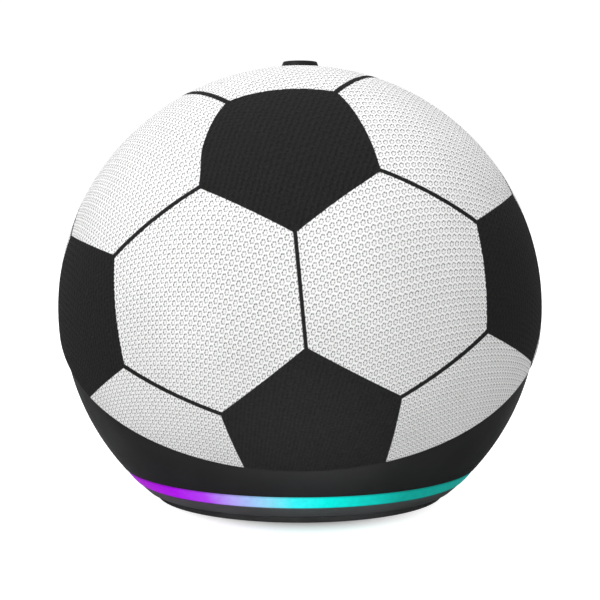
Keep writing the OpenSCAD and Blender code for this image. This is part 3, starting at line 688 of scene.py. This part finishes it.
def tunnel_mesh(x, radius):
    """A port's round tunnel: a tube from the socket's face out to the shell, with a softened mouth."""
    matrix = Matrix.Translation((x, 0, PORT_Z)) @ Matrix.Rotation(-math.pi / 2, 4, "X")
    socket_face, segments = 35.4 * MM, 64

    def shell_depth(turn, r):
        px, pz = x + r * math.cos(turn), PORT_Z - r * math.sin(turn)
        return math.sqrt(HOUSING_R**2 - px**2 - (pz - CENTRE.z) ** 2)

    rows = [  # radius, and height over the shell; None is the socket's face
        (radius + 1.2 * MM, -0.25 * MM), (radius + 0.35 * MM, -0.02 * MM), (radius + 0.1 * MM, -0.12 * MM),
        (radius, -0.35 * MM), (radius, None)]
    verts, faces = [], []
    for r, lift in rows:
        for k in range(segments):
            turn = 2 * math.pi * k / segments
            depth = socket_face if lift is None else shell_depth(turn, r) + lift
            verts.append(matrix @ Vector((r * math.cos(turn), r * math.sin(turn), depth)))
    for i in range(len(rows) - 1):
        for k in range(segments):
            n = (k + 1) % segments
            near, far = i * segments, (i + 1) * segments
            faces.append([near + k, near + n, far + n, far + k])
    return verts, faces


def drill(piece, *cutters):
    """Cuts closed meshes out of a piece."""
    for verts, faces in cutters:
        mesh = bpy.data.meshes.new("cutter")
        mesh.from_pydata([tuple(v) for v in verts], [], faces)
        cutter = bpy.data.objects.new("cutter", mesh)
        bpy.context.collection.objects.link(cutter)
        cut = piece.modifiers.new("drill", "BOOLEAN")
        cut.operation, cut.solver, cut.object = "DIFFERENCE", "EXACT", cutter
        bpy.context.view_layer.update()
        done = bpy.data.meshes.new_from_object(piece.evaluated_get(bpy.context.evaluated_depsgraph_get()))
        piece.modifiers.remove(cut)
        piece.data = done
        bpy.data.objects.remove(cutter)


def port_cutter(x, radius):
    """Rod that opens the shell for a port, a little wider than the port's tunnel."""
    matrix = Matrix.Translation((x, 0, PORT_Z)) @ Matrix.Rotation(-math.pi / 2, 4, "X")
    margin = 0.34 * MM
    reach = radius + margin
    return lathe([(0, 30 * MM), (reach, 30 * MM), (reach, 60 * MM), (0, 60 * MM)], 64, matrix, False)


def base_screw_cutter(degrees):
    """Stepped rod that leaves room for one base screw and its head."""
    turn = math.radians(degrees)
    matrix = Matrix.Translation((BASE_SCREW_R * math.cos(turn), BASE_SCREW_R * math.sin(turn), 0))
    outline = [(0, 0), (2.5, 0), (2.5, 2.7), (1.4, 2.7), (1.4, 9), (0, 9)]
    return lathe([(r * MM, z * MM) for r, z in outline], 32, matrix, False)


def make_housing(material):
    verts, faces = housing_mesh()
    piece = add_piece("housing_shell", verts, faces, "case", material, ("lower_housing",))
    drill(piece, port_cutter(-PORT_X, POWER_RECESS_R), port_cutter(PORT_X, AUDIO_RECESS_R))
    for x, radius, name in ((-PORT_X, POWER_RECESS_R, "power_tunnel"),
                            (PORT_X, AUDIO_RECESS_R, "audio_tunnel")):
        verts, faces = tunnel_mesh(x, radius)
        add_piece(name, verts, faces, "case", material)


def make_ring(material):
    """Lit ring: a slightly bulging band between the housing and the base cover."""
    bulge, inner_r = 0.18 * MM, 30 * MM
    mid_r = (RING_R_TOP + RING_R_BOTTOM) / 2 + bulge
    outline = rounded([
        (inner_r, RING_LOW, 0), (RING_R_BOTTOM, RING_LOW, 0.2 * MM),
        (mid_r, (RING_LOW + RING_HIGH) / 2, 0.9 * MM),
        (RING_R_TOP, RING_HIGH, 0.2 * MM), (inner_r, RING_HIGH, 0),
    ])
    verts, faces = lathe(outline, 256)
    add_piece("glow_ring", verts, faces, "case", material, ("light_ring",))


def make_base(material):
    """Base cover, which carries on the ball's own curve under the ring."""
    high, steps = RING_LOW - 0.1 * MM, 8
    levels = [BASE_LOW + (high - BASE_LOW) * k / steps for k in range(steps + 1)]
    wall = [(math.sqrt(HOUSING_R**2 - (z - CENTRE.z) ** 2), z, 0) for z in levels]
    wall[0] = (wall[0][0], wall[0][1], 0.25 * MM)
    wall[-1] = (wall[-1][0], wall[-1][1], 0.15 * MM)
    rib = [(BASE_RIB_OUT, high, 0), (BASE_RIB_OUT, BASE_RIB_TOP, 0),
           (BASE_RIB_IN, BASE_RIB_TOP, 0), (BASE_RIB_IN, high, 0)]
    outline = rounded([(0, BASE_LOW, 0)] + wall + rib + [(0, high, 0)])
    verts, faces = lathe(outline, 256, closed=False)
    piece = add_piece("base_shell", verts, faces, "case", material, ("base_cover",))
    drill(piece, *[base_screw_cutter(turn) for turn in BASE_SCREW_TURNS])


def make_foot(material):
    """Rubber foot with four shallow grooves round its underside."""
    grooves, pitch, depth = 4, 0.9 * MM, 0.12 * MM
    under = [(0.0, 0.0, 0)]
    for k in range(grooves):
        r = FOOT_R - 3.9 * MM + k * pitch
        under += [(r, 0, 0.1 * MM), (r + 0.12 * MM, depth, 0.05 * MM), (r + 0.4 * MM, depth, 0.05 * MM),
                  (r + 0.52 * MM, 0, 0.1 * MM)]
    rise = [(FOOT_R, 0, 0.3 * MM), (FOOT_R + 0.6 * MM, FOOT_TOP, 0.15 * MM), (0, FOOT_TOP, 0)]
    outline = rounded(under + rise)
    verts, faces = lathe(outline, 256, closed=False)
    add_piece("rubber_foot", verts, faces, "case", material, ("foot_pad",))


# ------------------------------------------------------------------ buttons


def mark_bars(name):
    """A button's raised mark, as bars of (x, y, length, width, turn) in millimetres."""
    return {
        "volume_up": [(0, 0, 2.6, 0.5, 0), (0, 0, 2.6, 0.5, 90)],
        "volume_down": [(0, 0, 2.6, 0.5, 0)],
        "microphone": [(0, 0.5, 1.5, 0.8, 90), (0, -0.95, 0.7, 0.25, 90), (0, -1.3, 1.2, 0.25, 0),
                       (0, 0, 3.6, 0.28, 45)],
        "action": [],
    }[name]


def cap_height(r):
    """Height of a cap's slightly dished top over the ball's centre, at a radius from the cap's axis."""
    share = min(1.0, r / CAP_RIM_R)
    return DOME_R + BUTTON_PROUD + CAP_RIM_RISE - CAP_DISH * (1 - share**2)


def on_button(matrix, x, y, lift):
    """A point on a button's dished top, from flat coordinates in metres."""
    return matrix @ Vector((x, y, cap_height(math.hypot(x, y)) + lift))


def bar_mesh(matrix, x, y, length, width, degrees):
    """A raised bar with round ends that follows the button's dished top."""
    turn = math.radians(degrees)
    along, across = Vector((math.cos(turn), math.sin(turn))), Vector((-math.sin(turn), math.cos(turn)))
    half, radius = (length - width) / 2, width / 2
    outline = [(half + radius * math.cos(a), radius * math.sin(a))
               for a in (math.radians(-90 + 22.5 * k) for k in range(9))]
    outline += [(-px, -py) for px, py in outline]
    verts, faces = [], []
    for scale, lift in ((1.0, -0.08), (1.0, 0.05), (0.82, 0.09)):
        for px, py in outline:
            place = Vector((x, y)) + along * (px if scale == 1 else px * 0.97) + across * py * scale
            verts.append(on_button(matrix, place.x * MM, place.y * MM, lift * MM))
    n = len(outline)
    for row in range(2):
        for k in range(n):
            m = (k + 1) % n
            faces.append([row * n + k, row * n + m, (row + 1) * n + m, (row + 1) * n + k])
    faces.append([2 * n + k for k in range(n)])
    return verts, faces


def make_buttons(material, mark_material):
    for name, degrees in BUTTONS:
        matrix = button_frame(degrees)
        upright = matrix @ Matrix.Rotation(-math.radians(degrees), 4, "Z")
        rim = cap_height(CAP_RIM_R)
        dish = [CAP_RIM_R * (1 - k / 8) for k in range(1, 9)]
        outline = rounded([
            (0, FLANGE_LOW, 0), (FLANGE_R, FLANGE_LOW, 0.1 * MM), (FLANGE_R, FLANGE_HIGH, 0.1 * MM),
            (BUTTON_R, FLANGE_HIGH, 0.1 * MM), (BUTTON_R, DOME_R - 0.1 * MM, 0.3 * MM),
            (CAP_RIM_R, rim, 0.06 * MM), (dish[0], cap_height(dish[0]), 0),
        ]) + [(r, cap_height(r)) for r in dish[1:]]
        cap = lathe(outline, 96, matrix, closed=False)
        stem = lathe([(0, STEM_LOW), (STEM_R, STEM_LOW), (STEM_R, STEM_HIGH), (0, STEM_HIGH)], 48,
                     stem_frame(degrees), closed=False)
        verts, faces = joined(cap, stem)
        add_piece(name + "_cap_top", verts, faces, name + "_cap", material,
                  (name + "_button",))
        if name == "action":
            # the round mark's radii and lifts, in millimetres
            ring = [(0.62, -0.08), (0.62, 0.06), (0.72, 0.09), (1.0, 0.09), (1.1, 0.06), (1.1, -0.08)]
            outline = [(r * MM, cap_height(r * MM) + lift * MM) for r, lift in ring]
            mark = lathe(outline, 64, matrix)
        else:
            mark = joined(*[bar_mesh(upright, *bar) for bar in mark_bars(name)])
        add_piece(name + "_mark", mark[0], mark[1], name + "_cap", mark_material)


# ------------------------------------------------------------------ loudspeaker suspension


def surround_outline():
    """Half-roll rubber edge between two flat lips, as a closed (r, z) outline."""
    def roll(radius, first, last):
        turns = [math.radians(first + (last - first) * k / 12) for k in range(13)]
        return [(ROLL_MID_R + radius * math.cos(t), ROLL_Z + radius * math.sin(t)) for t in turns]

    half = RUBBER_T / 2
    rise = math.degrees(math.asin(RUBBER_T / (ROLL_R + half)))
    return ([(SURROUND_IN, ROLL_Z)] + roll(ROLL_R - half, 180, 0)
            + [(SURROUND_OUT, ROLL_Z), (SURROUND_OUT, ROLL_Z + RUBBER_T)]
            + roll(ROLL_R + half, rise, 180 - rise) + [(SURROUND_IN, ROLL_Z + RUBBER_T)])


def spider_outline():
    """Corrugated disc that centres the voice coil, as a closed (r, z) outline."""
    steps = SPIDER_FOLDS * 6
    under = []
    for k in range(steps + 1):
        wave = 0.5 - 0.5 * math.cos(math.pi * k * SPIDER_FOLDS / steps)
        under.append((SPIDER_IN + (SPIDER_OUT - SPIDER_IN) * k / steps, SPIDER_Z + wave * SPIDER_WAVE))
    return under + [(r, z + RUBBER_T) for r, z in reversed(under)]


def make_suspension(name, outline, material, node):
    """A ring cut into sectors, each spanning its own slice of the ring between the case and the cone."""
    matrix = Matrix.Translation((0, 0, DRIVER_Z)) @ Matrix.Rotation(math.pi / 2, 4, "X")
    steps, width = 6, len(outline)
    for sector in range(SUSPENSION_SECTORS):
        span = 2 * math.pi / SUSPENSION_SECTORS
        turns = [span * (sector + k / steps) for k in range(steps + 1)]
        verts = [matrix @ Vector((r * math.cos(t), r * math.sin(t), z)) for t in turns for r, z in outline]
        faces = []
        for k in range(steps):
            for i in range(width):
                n = (i + 1) % width
                faces.append([k * width + i, (k + 1) * width + i, (k + 1) * width + n, k * width + n])
        piece = add_piece(f"{name}_{sector + 1}", verts, faces, None, material,
                          (node,) if sector == 0 else ())
        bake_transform(piece)


# ------------------------------------------------------------------ floor


def make_floor():
    """A pale studio floor, lit up for the camera so that little but the shadow under the speaker shows; that
    shadow is partly real and partly painted, as the glow fades out near the speaker.
    """
    net = Net("floor")
    place = net.place()
    camera_ray = net.node("ShaderNodeLightPath").outputs["Is Camera Ray"]
    spread = net.vector("LENGTH", net.vector("MULTIPLY", place, (FLOOR_PAINTED_SHADOW_NARROW, 1, 1)))
    # painted shadow: the glow drops from FLOOR_GLOW_FAR to FLOOR_GLOW_NEAR toward the speaker
    glow = net.smooth(spread, *FLOOR_PAINTED_SHADOW_R, FLOOR_GLOW_NEAR, FLOOR_GLOW_FAR)
    net.finish(
        Base_Color=net.mix(net.noise(place, 3.0), grey(0.53), grey(0.55)),
        Roughness=0.9,
        Specular_IOR_Level=0.0,
        Emission_Color=grey(1.0),
        Emission_Strength=net.math("MULTIPLY", camera_ray, glow),
    )
    reach = 6  # metres
    mesh = bpy.data.meshes.new("floor")
    mesh.from_pydata([(-reach, -reach, 0), (reach, -reach, 0), (reach, reach, 0), (-reach, reach, 0)],
                     [], [(0, 1, 2, 3)])
    mesh.materials.append(net.material)
    floor = bpy.data.objects.new("floor", mesh)
    bpy.context.collection.objects.link(floor)


# ------------------------------------------------------------------ inner pieces


def metal_material(name, colour, rough):
    """Plated or cast metal with fine drawn lines and faint stains."""
    net = Net(name)
    place = net.place()
    stretch = (1, 1, 30)
    lines = net.noise(net.vector("MULTIPLY", place, stretch), 900.0, 3.0, 0.7)
    stain = net.noise(place, 120.0, 4.0)
    darker = tuple(c * 0.8 for c in colour[:3]) + (1,)
    return net.finish(
        Base_Color=net.mix(net.smooth(stain, 0.35, 0.7), colour, darker),
        Metallic=1.0,
        Roughness=net.smooth(lines, 0.2, 0.8, rough * 0.7, rough * 1.3),
        Normal=net.bump(lines, 0.25, 0.01 * MM),
    )


def board_material(name, colour):
    """Solder mask with copper tracks under it."""
    net = Net(name)
    place = net.place()
    grid = net.node("ShaderNodeTexBrick", {"Vector": place, "Scale": 260.0,
                                           "Mortar Size": 0.06}).outputs["Fac"]
    cells = net.node("ShaderNodeTexVoronoi", {"Vector": place, "Scale": 420.0}).outputs["Distance"]
    track = net.math("MULTIPLY", grid, net.smooth(cells, 0.1, 0.5))
    lighter = tuple(min(1.0, c * 2.2) for c in colour[:3]) + (1,)
    return net.finish(
        Base_Color=net.mix(track, colour, lighter),
        Roughness=net.smooth(track, 0, 1, 0.35, 0.28),
        Normal=net.bump(track, 0.4, 0.03 * MM),
    )


def cloth_material(name, colour, scale):
    """Open-cell foam or resin-treated cloth, painted darker in each cell's hollow as shade."""
    net = Net(name)
    place = net.place()
    cells = net.node("ShaderNodeTexVoronoi", {"Vector": place, "Scale": scale}).outputs["Distance"]
    darker = tuple(c * 0.5 for c in colour[:3]) + (1,)
    return net.finish(
        # painted shade: darker near each cell's middle, where the bump dips
        Base_Color=net.mix(net.smooth(cells, 0.1, 0.6), darker, colour),
        Roughness=net.smooth(cells, 0, 1, 0.85, 1.0),
        Normal=net.bump(cells, 0.6, 0.1 * MM),
    )


def paint_inner_nodes(shown):
    """Gives every CAD node that stays a procedural material made from its slot's class and colour."""
    record = frame["record"]
    slots = {m["slot"]: m for m in record["materials"]}
    made = dict(shown)
    for part in record["subparts"]:
        slot = part["material_slot"]
        if slot not in made:
            kind, colour = slots[slot]["class"], tuple(slots[slot]["base_color"][:3]) + (1,)
            if slot == "circuit_board":
                made[slot] = board_material(slot, colour)
            elif slot in ("foam", "treated_cloth"):
                made[slot] = cloth_material(slot, colour, 2500.0 if slot == "foam" else 1600.0)
            elif kind in ("brushed_steel", "chrome", "aluminium", "brass", "cast_iron"):
                made[slot] = metal_material(slot, colour, 0.15 if kind == "chrome" else 0.35)
            else:
                rough = {"gloss_plastic": 0.15, "rubber": 0.75}.get(kind, 0.5)
                made[slot] = moulded_material(slot, colour, rough)
        node = frame["nodes"][part["node"]]
        for material_slot in node.material_slots:
            material_slot.material = made[slot]
    return made


# ------------------------------------------------------------------ build

make_camera()
make_light()

fabric = fabric_material()
housing = moulded_material("housing_plastic", rgb(0.0085, 0.0085, 0.0088), 0.6, specular=0.12)
ring = ring_material()
base = moulded_material("base_plastic", rgb(0.075, 0.075, 0.077), 0.45, specular=0.3)
rubber = moulded_material("foot_rubber", rgb(0.042, 0.042, 0.044), 0.8, grain=0.2 * MM, specular=0.2)
button = moulded_material("button_plastic", rgb(0.009, 0.009, 0.0095), 0.5, specular=0.12)
mark = moulded_material("button_mark", rgb(0.25, 0.25, 0.26), 0.5)

looks = paint_inner_nodes({"dome_fabric": fabric, "housing_plastic": housing, "ring_diffuser": ring,
                           "base_plastic": base, "foot_rubber": rubber, "button_plastic": button})
knit_dome(fabric)
make_housing(housing)
make_ring(ring)
make_base(base)
make_foot(rubber)
make_buttons(button, mark)
make_suspension("rubber_surround", surround_outline(),
                looks["soft_rubber"], "surround")
make_suspension("cloth_spider", spider_outline(),
                looks["treated_cloth"], "spider")
make_floor()
